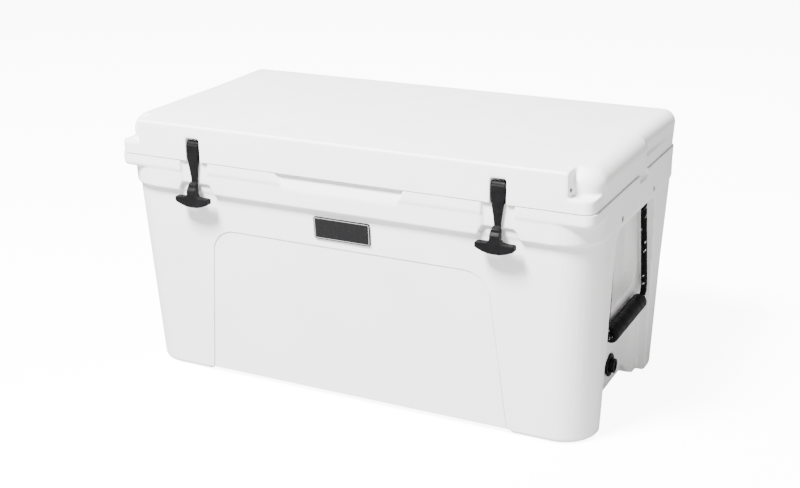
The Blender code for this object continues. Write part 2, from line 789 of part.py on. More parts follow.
def make_drain(looks):
    """A lined hole through the end wall, closed by a screwed plug on a soft washer."""
    def ring(name, outer, inner, low, high):
        made = cylinder(name, outer, (low, END_MID, DRAIN_Z), (high, END_MID, DRAIN_Z), 28)
        hole = cylinder(
            name + "_hole", inner, (low - 0.01, END_MID, DRAIN_Z),
            (high + 0.01, END_MID, DRAIN_Z), 24)
        cut(made, hole)
        return made

    finish(
        ring("drain_insert", DRAIN_HOLE - CLEARANCE, DRAIN_BORE,
             liner_end(DRAIN_Z) + 0.001, DRAIN_SEAT - 0.0005),
        looks["drain"])
    pivot = (DRAIN_SEAT, END_MID, DRAIN_Z)
    slider = pivot_empty("drain_slide", pivot)
    seal = ring(
        "drain_seal", 0.0165, DRAIN_SHANK + 0.0004, DRAIN_SEAT + 0.0003, DRAIN_SEAT + 0.0031)
    finish(seal, looks["rubber"], pivot, slider)
    def along_drain(name, radius, low, high, sides):
        return cylinder(
            name, radius, (DRAIN_SEAT + low, END_MID, DRAIN_Z),
            (DRAIN_SEAT + high, END_MID, DRAIN_Z), sides)

    plug = along_drain("drain_plug", 0.020, 0.0034, 0.0073, 32)
    shank = along_drain("drain_shank", DRAIN_SHANK, -0.0335, 0.0055, 24)
    knob = along_drain("drain_knob", 0.012, 0.0055, 0.0145, 24)
    join(plug, shank, knob)
    finish(plug, looks["drain"], pivot, pivot_empty("drain_turn", pivot, slider))


def main():
    global PARTS, CUTTERS
    clear_scene()
    PARTS = new_collection("hard_cooler")
    CUTTERS = new_collection("cutters")
    looks = {
        "shell": material("white_polyethylene", (0.83, 0.83, 0.82), 0.45),
        "foam": material("polyurethane_foam", (0.85, 0.78, 0.55), 0.90),
        "plug": material("white_plug", (0.75, 0.75, 0.75), 0.50),
        "gasket": material("grey_gasket", (0.20, 0.20, 0.21), 0.60),
        "rubber": material("black_rubber", (0.015, 0.015, 0.016), 0.55),
        "rope": material("black_rope", (0.02, 0.02, 0.02), 0.80),
        "drain": material("black_plastic", (0.02, 0.02, 0.022), 0.40),
        "badge": material("black_badge", (0.01, 0.01, 0.01), 0.30),
        "steel": material("stainless_steel", (0.55, 0.55, 0.56), 0.30, 1.0),
    }
    tub = body_outer()
    lid = make_lid_shell()
    make_hinge(tub, lid, looks["steel"])
    cut_liner_and_foam(tub)
    cut_bays(tub)
    cut_front(tub)
    make_feet(tub, looks["rubber"])
    finish(foam_space("body_foam", SKIN + CLEARANCE), looks["foam"])
    plug = cylinder(
        "body_foam_plug", FILL_RADIUS - CLEARANCE, (0, END_MID, BELLY + 0.0005),
        (0, END_MID, FOAM_BOTTOM - CLEARANCE))
    finish(plug, looks["plug"])
    make_name_plate(looks["badge"])
    lid_pivot = pivot_empty("lid_pivot", (0, HINGE_Y, HINGE_Z))
    make_lid(lid, lid_pivot, looks)
    for side, end in SIDES:
        make_rope_ends(tub, side, end, looks["rope"], looks["steel"])
        make_handle(side, end, looks["rope"], looks["rubber"])
        make_latch(lid, lid_pivot, side, end, looks)
    make_drain(looks)
    finish(tub, looks["shell"])
    finish(lid, looks["shell"], (0, HINGE_Y, HINGE_Z), lid_pivot)


main()
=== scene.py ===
"""Looks of a rotomoulded hard cooler: shell, lid, latches, rope handles and drain."""

import math

import bmesh
import bpy
from mathutils import Matrix, Vector


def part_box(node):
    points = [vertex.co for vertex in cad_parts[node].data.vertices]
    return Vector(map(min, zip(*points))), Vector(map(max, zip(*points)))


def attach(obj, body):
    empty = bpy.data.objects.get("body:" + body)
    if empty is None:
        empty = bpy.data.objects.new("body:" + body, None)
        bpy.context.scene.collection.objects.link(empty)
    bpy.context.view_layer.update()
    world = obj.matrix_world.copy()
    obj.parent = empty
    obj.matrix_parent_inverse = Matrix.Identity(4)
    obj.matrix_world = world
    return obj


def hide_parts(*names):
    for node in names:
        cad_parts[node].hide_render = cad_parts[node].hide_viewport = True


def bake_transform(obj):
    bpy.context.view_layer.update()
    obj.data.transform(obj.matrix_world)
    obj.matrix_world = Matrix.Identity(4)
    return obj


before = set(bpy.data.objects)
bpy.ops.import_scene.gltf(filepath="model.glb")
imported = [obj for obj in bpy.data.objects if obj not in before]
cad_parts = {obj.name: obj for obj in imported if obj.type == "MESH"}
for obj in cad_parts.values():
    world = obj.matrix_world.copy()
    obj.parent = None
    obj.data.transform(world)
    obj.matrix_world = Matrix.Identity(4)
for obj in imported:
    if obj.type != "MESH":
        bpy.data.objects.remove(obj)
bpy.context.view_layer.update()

# Sizes in metres, read from the frame where it holds them
lid_low, lid_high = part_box("lid_skin")
HALF_LENGTH = lid_high.x - 0.0001
FRONT = lid_low.y
REAR = FRONT + 0.447
HEIGHT = lid_high.z - 0.0001
LID_BOTTOM = 0.3978
RIM_TOP = 0.3962
OVERLAP = 0.014  # how far the rough shells run past the parting line before it is cut
LEDGE_BOTTOM = 0.375
LID_LEDGE_TOP = 0.418
BAND_BOTTOM = 0.343
FOOT_BOTTOM = 0.0015
CORNER = 0.060  # radius of the tub's front corners
LINER_CORNER = 0.040
PANEL_HIGH = 0.278
PANEL_LOW_HALF = 0.287
PANEL_HIGH_HALF = 0.250
PANEL_CORNER = 0.040
REACH = 0.05  # how far a cutter runs past the outside
BELLY = 0.008
END_MID = 0.007  # Y of the middle of both ends
BAY_WALL = 0.396
BAY_HIGH_HALF = 0.108
BAY_LOW_HALF = 0.130
BAY_LOW = -0.05
POCKET_WALL = 0.3735
POCKET_FLOOR = 0.174
BAY_TOP = 0.335
LINER_FLOOR = 0.048
LATCH_X = 0.272
LATCH_AXIS = Vector((0, FRONT + 0.007, 0.425))
HINGE_X = 0.240
HINGE_AXIS = Vector((0, REAR + 0.001, 0.397))
KNUCKLE = 0.040
KNUCKLE_ROOM = 0.0104
ROPE_X = 0.4065
ROPE_SPAN = 0.086
ROPE_TOP = 0.316
ELBOW_SPAN = 0.105
ELBOW_RADIUS = 0.020
GRIP_X = 0.409
GRIP_Z = 0.151
GRIP_HALF = 0.083
GRIP_RADIUS = 0.0135
GRIP_BORE = 0.0062
LEG_KINK = Vector((0.4085, 0.097, 0.225))  # where a leg starts to splay more
STRAND_PITCH = 0.030
STRANDS = 8
DRAIN_Z = 0.061
DRAIN_SEAT = 0.3815
SCREW_Z = 0.351
NOTCH_X = 0.381
NOTCH_DEPTH = 0.021
SHELL_GRAIN = 0.0021  # grid of the shells' remesh
SIDES = (("left", -1), ("right", 1))
CAMERA_PLACE = (0.9637, -1.9305, 0.9960)
CAMERA_AZIMUTH = 26.549  # the camera's turns in degrees
CAMERA_ELEVATION = 19.763
CAMERA_ROLL = -0.642
CAMERA_LENS = 58.69  # millimetres, on a 36 mm sensor
TABLE_GLOW = 9.0
WORLD_LIGHT = 0.50
KEY_WATTS = 900
FILL_WATTS = 26


# Working by hand: every tool starts from one selected, active piece

def only(piece):
    if bpy.context.object and bpy.context.object.mode != "OBJECT":
        bpy.ops.object.mode_set(mode="OBJECT")
    bpy.ops.object.select_all(action="DESELECT")
    piece.select_set(True)
    bpy.context.view_layer.objects.active = piece
    return piece


def settle(name):
    """Names the piece just added and puts its place, turn and size in its mesh."""
    piece = bpy.context.active_object
    piece.name = name
    piece.data.name = name
    bpy.ops.object.transform_apply(location=True, rotation=True, scale=True)
    return piece


def add_box(name, low, high):
    bpy.ops.object.select_all(action="DESELECT")
    low = Vector(low)
    high = Vector(high)
    bpy.ops.mesh.primitive_cube_add(size=1, location=(low + high) / 2, scale=high - low)
    return settle(name)


def add_bar(name, radius, start, end, sides=32):
    """A cylinder between two points."""
    bpy.ops.object.select_all(action="DESELECT")
    start = Vector(start)
    end = Vector(end)
    turn = (end - start).to_track_quat("Z", "Y").to_euler()
    bpy.ops.mesh.primitive_cylinder_add(
        vertices=sides, radius=radius, depth=(end - start).length,
        location=(start + end) / 2, rotation=turn)
    return settle(name)


def pick(piece, kind, test):
    """Goes into edit mode with the vertices, edges or faces that test accepts selected."""
    only(piece)
    bpy.ops.object.mode_set(mode="EDIT")
    bpy.ops.mesh.select_mode(type=kind)
    bpy.ops.mesh.select_all(action="DESELECT")
    mesh = bmesh.from_edit_mesh(piece.data)
    for part in {"VERT": mesh.verts, "EDGE": mesh.edges, "FACE": mesh.faces}[kind]:
        part.select_set(bool(test(part)))
    mesh.select_flush_mode()
    bmesh.update_edit_mesh(piece.data)


def done():
    bpy.ops.object.mode_set(mode="OBJECT")


def middle(edge):
    return (edge.verts[0].co + edge.verts[1].co) / 2


def runs_along(edge, axis):
    way = (edge.verts[0].co - edge.verts[1].co).normalized()
    return abs(way["XYZ".index(axis)]) > 0.85


def round_edges(piece, test, radius, segments=6):
    pick(piece, "EDGE", test)
    bpy.ops.mesh.bevel(offset=radius, segments=segments, affect="EDGES", clamp_overlap=True)
    done()
    return piece


def stretch(piece, test, value, centre):
    """Scales the accepted vertices about a centre."""
    pick(piece, "VERT", test)
    bpy.ops.transform.resize(value=value, center_override=centre)
    done()
    return piece


def shift(piece, test, offset):
    pick(piece, "VERT", test)
    bpy.ops.transform.translate(value=offset)
    done()
    return piece


def apply_modifier(piece, kind, **settings):
    only(piece)
    modifier = piece.modifiers.new(kind.title(), kind)
    for key, value in settings.items():
        setattr(modifier, key, value)
    bpy.ops.object.modifier_apply(modifier=modifier.name)
    return piece


def carve(piece, *tools, operation="DIFFERENCE", solver="EXACT"):
    """Cuts each tool from the piece, or joins it, and throws the tool away."""
    for tool in tools:
        apply_modifier(piece, "BOOLEAN", operation=operation, solver=solver, object=tool)
        bpy.data.objects.remove(tool)
    return piece


def weld_on(piece, *tools):
    return carve(piece, *tools, operation="UNION")


def soften(piece, grain, rounds, most_triangles):
    """Remeshes on an even grid, smooths the edges as moulding does, then thins the flat areas."""
    apply_modifier(piece, "REMESH", mode="VOXEL", voxel_size=grain)
    apply_modifier(piece, "SMOOTH", factor=0.5, iterations=rounds)
    triangles = 2 * len(piece.data.polygons)
    if triangles > most_triangles:
        apply_modifier(piece, "DECIMATE", ratio=most_triangles / triangles)
    return piece


def smooth(piece, degrees=35):
    only(piece)
    bpy.ops.object.shade_smooth_by_angle(angle=math.radians(degrees))
    return piece


def tube(name, points, radius, sides=3, closed=False):
    """A round bar along points, made a mesh."""
    curve = bpy.data.curves.new(name, "CURVE")
    curve.dimensions = "3D"
    curve.bevel_depth = radius
    curve.bevel_resolution = sides
    curve.use_fill_caps = not closed
    curve.twist_mode = "MINIMUM"
    spline = curve.splines.new("POLY")
    spline.points.add(len(points) - 1)
    for index, place in enumerate(points):
        spline.points[index].co = (*place, 1)
    spline.use_cyclic_u = closed
    piece = bpy.data.objects.new(name, curve)
    bpy.context.scene.collection.objects.link(piece)
    only(piece)
    bpy.ops.object.convert(target="MESH")
    pick(piece, "VERT", lambda vertex: True)
    bpy.ops.mesh.remove_doubles(threshold=1e-6)
    bpy.ops.mesh.normals_make_consistent(inside=False)
    done()
    return piece


def join_pieces(pieces, name):
    only(pieces[0])
    for piece in pieces:
        piece.select_set(True)
    bpy.ops.object.join()
    pieces[0].name = name
    return pieces[0]


# Walls of the tub, as functions of height

def outer_walls(z):
    """Half length, front and rear of the tub's outside."""
    return 0.4130 + 0.0239 * z, -0.1865 - 0.0693 * z, 0.2115 + 0.0353 * z


def band_walls(z):
    return HALF_LENGTH - 0.0002, FRONT + 0.08 * max(0, 0.378 - z), REAR - 0.0002


def liner_walls(z):
    return 0.3276 + 0.0440 * z, -0.1430 - 0.0366 * z, 0.1530 + 0.0366 * z


def rounded_sheet(z, walls, front_radius, rear_radius):
    """A flat sheet at one height with its four corners rounded."""
    end, front, rear = walls(z)
    bpy.ops.object.select_all(action="DESELECT")
    bpy.ops.mesh.primitive_plane_add(size=1, location=(0, (front + rear) / 2, z))
    bpy.context.active_object.scale = (2 * end, rear - front, 1)
    sheet = settle("sheet")
    for radius, place in ((front_radius, front), (rear_radius, rear)):
        pick(sheet, "VERT", lambda vertex: abs(vertex.co.y - place) < 1e-5)
        bpy.ops.mesh.bevel(offset=radius, segments=10, affect="VERTICES")
        done()
    return sheet


def leaning_box(name, levels, walls):
    """Sheets at (height, front radius, rear radius), bridged into one closed block."""
    sheets = [rounded_sheet(z, walls, front, rear) for z, front, rear in levels]
    block = join_pieces(sheets, name)
    pick(block, "FACE", lambda face: True)
    bpy.ops.mesh.delete(type="ONLY_FACE")
    bpy.ops.mesh.select_mode(type="EDGE")
    bpy.ops.mesh.select_all(action="SELECT")
    bpy.ops.mesh.bridge_edge_loops(type="SINGLE")
    bpy.ops.mesh.select_all(action="SELECT")
    bpy.ops.mesh.fill_holes(sides=0)
    bpy.ops.mesh.select_all(action="SELECT")
    bpy.ops.mesh.normals_make_consistent(inside=False)
    done()
    return block


# Tub

def rim_block(name, low, high, lower_radius, inset=0.0):
    """The ledge round the parting line: tight corners in front, wide ones behind."""
    end = HALF_LENGTH - inset
    block = add_box(name, (-end, FRONT, low), (end, REAR, high))
    round_edges(block, lambda edge: runs_along(edge, "Z") and middle(edge).y < 0, 0.017, 8)
    round_edges(block, lambda edge: runs_along(edge, "Z") and middle(edge).y > 0.1, 0.027, 10)
    if lower_radius:
        round_edges(
            block, lambda edge: all(vertex.co.z < low + 1e-5 for vertex in edge.verts),
            lower_radius, 4)
    return block


def bay_tools(end):
    """What is cut from one end: the hand bay, its deep pocket, its sloping foot and the arch."""
    outside = end * (HALF_LENGTH + REACH)

    def spanning(name, wall, half, low, high):
        x = sorted((end * wall, outside))
        return add_box(name, (x[0], END_MID - half, low), (x[1], END_MID + half, high))

    def is_inner(vertex):
        return abs(vertex.co.x) < HALF_LENGTH

    def upright_inner(edge):
        return abs(middle(edge).x) < HALF_LENGTH and runs_along(edge, "Z")

    bay = spanning("bay", BAY_WALL, BAY_LOW_HALF, BAY_LOW, BAY_TOP)
    narrower = BAY_HIGH_HALF / BAY_LOW_HALF
    stretch(bay, lambda vertex: vertex.co.z > 0, (1, narrower, 1), (0, END_MID, BAY_TOP))
    round_edges(bay, lambda edge: runs_along(edge, "X") and middle(edge).z > 0, 0.025, 8)
    slope = spanning("slope", BAY_WALL, 0.118, BAY_LOW, POCKET_FLOOR - 0.002)
    lean = end * -0.0222
    shift(slope, lambda vertex: is_inner(vertex) and vertex.co.z < 0, (lean, 0, 0))
    stretch(slope, is_inner, (1, 0.90, 1), (0, END_MID, 0))
    round_edges(slope, upright_inner, 0.016, 6)
    pocket = spanning("pocket", POCKET_WALL, 0.106, POCKET_FLOOR, BAY_TOP)
    stretch(pocket, is_inner, (1, 0.93, 1), (0, END_MID, 0))
    shift(pocket, lambda vertex: is_inner(vertex) and vertex.co.z < 0.2, (0, 0, 0.005))
    round_edges(pocket, lambda edge: runs_along(edge, "X") and middle(edge).z < 0.2, 0.040, 10)
    round_edges(pocket, lambda edge: runs_along(edge, "X") and middle(edge).z > 0.3, 0.022, 8)
    round_edges(
        pocket, lambda edge: all(abs(vertex.co.x) < POCKET_WALL + 1e-4 for vertex in edge.verts),
        0.009, 5)
    arch = spanning("arch", 0.372, BAY_LOW_HALF, BAY_LOW, 0.023)
    narrower = 0.096 / BAY_LOW_HALF
    stretch(arch, lambda vertex: vertex.co.z > 0, (1, narrower, 1), (0, END_MID, 0))
    round_edges(arch, lambda edge: runs_along(edge, "X") and middle(edge).z > 0, 0.016, 8)
    return bay, slope, pocket, arch


def front_tools():
    """The finger scoop, and the latch channels and notches."""
    low_half = 0.098
    high_half = 0.124
    scoop = add_box(
        "scoop", (-high_half, FRONT - REACH, 0.366), (high_half, FRONT + 0.0005, 0.412))
    stretch(scoop, lambda vertex: vertex.co.z < 0.38, (low_half / high_half, 1, 1), (0, 0, 0))
    shift(
        scoop, lambda vertex: vertex.co.z > 0.38 and vertex.co.y > FRONT, (0, 0.0115, 0))
    round_edges(scoop, lambda edge: runs_along(edge, "Y") and middle(edge).z < 0.38, 0.006)
    tools = [scoop]
    for side, end in SIDES:
        centre = end * LATCH_X
        channel = add_box(
            "channel", (centre - 0.0265, FRONT - REACH, 0.33),
            (centre + 0.0265, FRONT + 0.0052, 0.412))
        notch = add_box(
            "notch", (centre - 0.040, FRONT - REACH, 0.33),
            (centre + 0.040, FRONT + 0.0102, 0.358))
        stretch(notch, lambda vertex: vertex.co.z > 0.34, (0.70, 1, 1), (centre, 0, 0))
        round_edges(notch, lambda edge: runs_along(edge, "Y") and middle(edge).z > 0.34, 0.006)
        tools += [channel, notch]
    return tools


def panel_block(inset, depth, beyond):
    """A block whose inner face lies a given depth behind the leaning front wall."""
    low = -REACH - beyond
    high = PANEL_HIGH - inset
    low_half = PANEL_LOW_HALF - inset
    high_half = PANEL_HIGH_HALF - inset
    panel = add_box(
        "panel", (-low_half, FRONT - REACH - beyond, low),
        (low_half, outer_walls(high)[1], high))
    stretch(panel, lambda vertex: vertex.co.z > 0, (high_half / low_half, 1, 1), (0, 0, 0))
    shift(
        panel, lambda vertex: vertex.co.z < 0 and vertex.co.y > FRONT,
        (0, outer_walls(low)[1] - outer_walls(high)[1], 0))
    shift(panel, lambda vertex: vertex.co.y > FRONT, (0, depth, 0))
    round_edges(
        panel, lambda edge: runs_along(edge, "Y") and middle(edge).z > 0,
        PANEL_CORNER - inset, 14)
    return panel


def panel_tools():
    """The shallow front panel and the fine groove that runs round it."""
    groove = panel_block(0, 0.0028, 0)
    carve(groove, panel_block(0.0011, 0.008, 0.01))
    return [panel_block(0, 0.0012, 0), groove]


def make_tub():
    high = RIM_TOP + OVERLAP
    tub = leaning_box(
        "tub_shell",
        [(FOOT_BOTTOM, CORNER, 0.058), (0.20, CORNER, 0.050), (high, CORNER, 0.024)],
        outer_walls)
    round_edges(
        tub, lambda edge: all(vertex.co.z < FOOT_BOTTOM + 1e-5 for vertex in edge.verts), 0.007, 4)
    band = leaning_box("band", [(BAND_BOTTOM, 0.062, 0.028), (high, 0.062, 0.028)], band_walls)
    weld_on(tub, band, rim_block("ledge", LEDGE_BOTTOM, high, 0.006))
    liner = leaning_box(
        "liner",
        [(LINER_FLOOR, LINER_CORNER, LINER_CORNER), (high + 0.02, LINER_CORNER, LINER_CORNER)],
        liner_walls)
    round_edges(
        liner, lambda edge: all(vertex.co.z < LINER_FLOOR + 1e-5 for vertex in edge.verts),
        0.022, 6)
    belly = add_box("belly", (-PANEL_LOW_HALF, -0.3, -REACH), (PANEL_LOW_HALF, 0.3, BELLY))
    tools = [liner, belly]
    for side, end in SIDES:
        tools += bay_tools(end)
        centre = end * HINGE_X
        tools.append(add_bar(
            "lid_knuckle_room", KNUCKLE_ROOM,
            HINGE_AXIS + Vector((centre - KNUCKLE / 2 - 0.001, 0, 0)),
            HINGE_AXIS + Vector((centre + KNUCKLE / 2 + 0.001, 0, 0))))
    tools.append(add_bar(
        "drain_seat", 0.022, (DRAIN_SEAT, END_MID, DRAIN_Z), (0.5, END_MID, DRAIN_Z), 48))
    carve(tub, *tools, *front_tools())
    soften(tub, SHELL_GRAIN, 3, 190000)
    crisp = [add_box("above_rim", (-0.6, -0.4, RIM_TOP), (0.6, 0.4, 0.6))] + panel_tools()
    crisp.append(add_bar(
        "drain_hole", 0.012, (0.30, END_MID, DRAIN_Z), (0.5, END_MID, DRAIN_Z), 48))
    crisp.append(add_bar("fill_hole", 0.0150, (0, END_MID, -0.02), (0, END_MID, 0.0135), 48))
    for side, end in SIDES:
        x = sorted((end * (HALF_LENGTH - 0.0045), end * (HALF_LENGTH + 0.02)))
        dent = add_box("rim_dent", (x[0], 0.006, 0.3815), (x[1], 0.053, 0.43))
        round_edges(dent, lambda edge: runs_along(edge, "X") and middle(edge).z < 0.4, 0.006)
        round_edges(
            dent, lambda edge: all(abs(vertex.co.x) < HALF_LENGTH for vertex in edge.verts),
            0.004, 4)
        crisp.append(dent)
        for along in (-1, 1):
            y = END_MID + along * ROPE_SPAN
            crisp.append(add_bar(
                "rope_hole", 0.0068, (end * ROPE_X, y, BAY_TOP - 0.01),
                (end * ROPE_X, y, 0.371)))
            crisp.append(add_bar(
                "screw_sink", 0.0056, (end * (HALF_LENGTH - 0.003), y, SCREW_Z),
                (end * 0.44, y, SCREW_Z)))
    carve(tub, *crisp, solver="MANIFOLD")
    smooth(tub)
    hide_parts("body_skin")
    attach(tub, "cooler_body")
    return tub


# Lid

def top_edges(piece, test=lambda place: True):
    high = max(vertex.co.z for vertex in piece.data.vertices)

    def wanted(edge):
        return all(vertex.co.z > high - 1e-5 for vertex in edge.verts) and test(middle(edge))

    return wanted


def make_lid():
    low = LID_BOTTOM - OVERLAP
    radius = 0.022
    face = add_box("lid_face", (-NOTCH_X, FRONT, low), (NOTCH_X, 0.10, HEIGHT))
    round_edges(face, lambda edge: runs_along(edge, "Z") and middle(edge).y < 0, 0.003, 3)
    round_edges(face, top_edges(face, lambda place: place.y < 0), radius, 10)
    cheeks = add_box(
        "cheeks", (-HALF_LENGTH, FRONT + NOTCH_DEPTH, low),
        (HALF_LENGTH, 0.064, HEIGHT - 0.0002))
    round_edges(cheeks, lambda edge: runs_along(edge, "Z") and middle(edge).y < 0, 0.038, 12)
    round_edges(cheeks, lambda edge: runs_along(edge, "Z") and middle(edge).y > 0, 0.030, 12)
    round_edges(cheeks, top_edges(cheeks), 0.028, 12)
    half = HALF_LENGTH - 0.0002
    back = add_box("back", (-half, FRONT + 0.040, low), (half, REAR, HEIGHT - 0.0001))
    stretch(back, lambda vertex: vertex.co.y < 0, (1 - 0.0125 / half, 1, 1), (0, 0, 0))
    round_edges(back, lambda edge: runs_along(edge, "Z") and middle(edge).y > 0, 0.0225, 10)
    round_edges(back, top_edges(back, lambda place: place.y > FRONT + 0.05), radius, 10)
    for block in (cheeks, back):
        stretch(
            block, lambda vertex: vertex.co.z < LID_BOTTOM, (1 - 0.0035 / half, 1, 1),
            (0, 0, 0))
    lid = weld_on(cheeks, face, back, rim_block("lid_ledge", low, LID_LEDGE_TOP, 0, 0.0025))
    lid.name = "lid_shell"
    tools = []
    for side, end in SIDES:
        centre = end * LATCH_X
        recess = add_box(
            "strap_recess", (centre - 0.0130, FRONT - REACH, 0.37),
            (centre + 0.0130, FRONT + 0.0150, 0.4362))
        tools.append(recess)
        for place in (-1, 1):
            low_x = end * HINGE_X + place * KNUCKLE - KNUCKLE / 2 - 0.001
            tools.append(add_bar(
                "tub_knuckle_room", KNUCKLE_ROOM, HINGE_AXIS + Vector((low_x, 0, 0)),
                HINGE_AXIS + Vector((low_x + KNUCKLE + 0.002, 0, 0))))
    carve(lid, *tools)
    soften(lid, SHELL_GRAIN, 3, 190000)
    below = add_box("below_lid", (-0.6, -0.4, 0.2), (0.6, 0.4, LID_BOTTOM))
    carve(lid, below, solver="MANIFOLD")
    smooth(lid)
    panel = add_box("lid_panel", (-0.338, -0.1505, 0.386), (0.338, 0.1605, LID_BOTTOM + 0.003))
    round_edges(panel, lambda edge: runs_along(edge, "Z"), 0.036, 10)
    round_edges(
        panel, lambda edge: all(vertex.co.z < 0.386 + 1e-5 for vertex in edge.verts), 0.006, 4)
    carve(panel, add_bar("plug_room", 0.0121, (0, END_MID, 0.37), (0, END_MID, 0.398), 48))
    smooth(panel)
    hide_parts("lid_skin")
    for piece in (lid, panel):
        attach(piece, "lid")
    return lid, panel


def make_knuckles(shell_look):
    """The hinge barrels: three to a hinge, the middle one on the lid."""
    for side, end in SIDES:
        for place in (-1, 0, 1):
            low = end * HINGE_X + place * KNUCKLE - KNUCKLE / 2 + 0.0005
            bar = add_bar(
                f"hinge_knuckle_{side}_{place + 2}", 0.0085, HINGE_AXIS + Vector((low, 0, 0)),
                HINGE_AXIS + Vector((low + KNUCKLE - 0.001, 0, 0)), 40)
            round_edges(bar, lambda edge: not runs_along(edge, "X"), 0.0012, 3)
            carve(bar, add_bar(
                "rod_bore", 0.0034, HINGE_AXIS + Vector((low - 0.01, 0, 0)),
                HINGE_AXIS + Vector((low + KNUCKLE + 0.01, 0, 0))))
            dress(smooth(bar), shell_look, "lid" if place == 0 else "cooler_body", "shell")


def make_gasket(look):
    """A soft ring round the lid's underside, flattened where it meets the rim."""
    half_x, front, rear, corner = 0.365, -0.178, 0.188, 0.055
    points = []
    for centre_x, centre_y, start in (
            (half_x - corner, rear - corner, 0), (corner - half_x, rear - corner, 90),
            (corner - half_x, front + corner, 180), (half_x - corner, front + corner, 270)):
        for step in range(13):
            angle = math.radians(start + 7.5 * step)
            points.append(Vector((
                centre_x + corner * math.cos(angle), centre_y + corner * math.sin(angle), 0.400)))
    ring = tube("gasket_ring", points, 0.005, 4, closed=True)
    stretch(ring, lambda vertex: True, (1, 1, 0.68), (0, 0, 0.400))
    dress(smooth(ring, 60), look, "lid", "gasket", "lid_gasket")


# Latches

def plate(name, outline, low, high, rounding):
    """A flat piece with the given (x, z) outline between two depths, its edges rounded."""
    curve = bpy.data.curves.new(name, "CURVE")
    curve.dimensions = "2D"
    curve.fill_mode = "BOTH"
    curve.extrude = (high - low) / 2 - rounding
    curve.bevel_depth = rounding
    curve.bevel_resolution = 2
    curve.offset = -rounding
    spline = curve.splines.new("POLY")
    spline.points.add(len(outline) - 1)
    for index, (x, z) in enumerate(outline):
        spline.points[index].co = (x, z, 0, 1)
    spline.use_cyclic_u = True
    piece = bpy.data.objects.new(name, curve)
    bpy.context.scene.collection.objects.link(piece)
    only(piece)
    piece.rotation_euler = (math.radians(90), 0, 0)
    piece.location = (0, (low + high) / 2, 0)
    bpy.ops.object.convert(target="MESH")
    bpy.ops.object.transform_apply(location=True, rotation=True, scale=True)
    pick(piece, "VERT", lambda vertex: True)
    bpy.ops.mesh.remove_doubles(threshold=1e-6)
    bpy.ops.mesh.normals_make_consistent(inside=False)
    done()
    return piece


def both_sides(half):
    """An outline from its right half, listed from the bottom up, mirrored to the left."""
    return half + [(-x, z) for x, z in reversed(half) if x > 0]


def make_latch(side, end, look):
    """One moulded rubber strap: an eye on the pin, a waisted neck and an anchor-shaped pull."""
    centre = end * LATCH_X
    strap = plate("strap", both_sides([
        (0.0050, 0.345), (0.0050, 0.366), (0.0062, 0.376), (0.0080, 0.387), (0.0097, 0.397),
        (0.0108, 0.408), (0.0110, 0.4250)]), FRONT - 0.0015, FRONT + 0.0046, 0.0006)
    wedge = plate("wedge", both_sides([
        (0.0062, 0.384), (0.0097, 0.3985), (0.0108, 0.408), (0.0110, 0.4250)]),
        FRONT + 0.0010, FRONT + 0.0085, 0.0006)
    shift(
        wedge, lambda vertex: vertex.co.z < 0.39 and vertex.co.y > FRONT + 0.005,
        (0, -0.0062, 0))
    pull = plate("pull", both_sides([
        (0, 0.3205), (0.0100, 0.3210), (0.0200, 0.3236), (0.0300, 0.3278), (0.0322, 0.3296),
        (0.0320, 0.3360), (0.0302, 0.3376), (0.0150, 0.3380), (0.0104, 0.3394),
        (0.0084, 0.3430), (0.0080, 0.3500), (0.0084, 0.3580), (0.0062, 0.3625)]),
        FRONT - 0.0130, FRONT - 0.0004, 0.0012)
    shift(
        pull, lambda vertex: vertex.co.z > 0.356 and vertex.co.y < FRONT - 0.006,
        (0, 0.0045, -0.003))
    eye = add_bar(
        "eye", 0.0065, (-0.0110, LATCH_AXIS.y, LATCH_AXIS.z),
        (0.0110, LATCH_AXIS.y, LATCH_AXIS.z))
    weld_on(strap, wedge, eye, pull)
    shift(strap, lambda vertex: True, (centre, 0, 0))
    strap.name = f"latch_strap_{side}"
    soften(strap, 0.0006, 4, 60000)
    carve(strap, add_bar(
        "eye_bore", 0.0029, (centre - 0.02, LATCH_AXIS.y, LATCH_AXIS.z),
        (centre + 0.02, LATCH_AXIS.y, LATCH_AXIS.z)), solver="MANIFOLD")
    dress(smooth(strap), look, f"latch_{side}", "rubber", f"latch_{side}")


# Rope handles

def handle_leg(end, along):
    """Centre line of one leg of a handle, from its hole in the lip into the grip."""
    route = [
        Vector((ROPE_X, ROPE_SPAN, 0.370)),
        Vector((ROPE_X, ROPE_SPAN, ROPE_TOP)),
        LEG_KINK]
    for step in range(13):
        angle = math.radians(7.5 * step)
        route.append(Vector((
            GRIP_X, ELBOW_SPAN - ELBOW_RADIUS * (1 - math.cos(angle)),
            GRIP_Z + ELBOW_RADIUS * (1 - math.sin(angle)))))
    route.append(Vector((GRIP_X, GRIP_HALF - 0.012, GRIP_Z)))
    return [Vector((end * p.x, END_MID + along * p.y, p.z)) for p in route]


def resample(points, spacing):
    """Even steps along a polyline."""
    out = [points[0].copy()]
    carry = 0.0
    for a, b in zip(points, points[1:]):
        length = (b - a).length
        reach = spacing - carry
        while reach <= length:
            out.append(a.lerp(b, reach / length))
            reach += spacing
        carry = (carry + length) % spacing
    return out


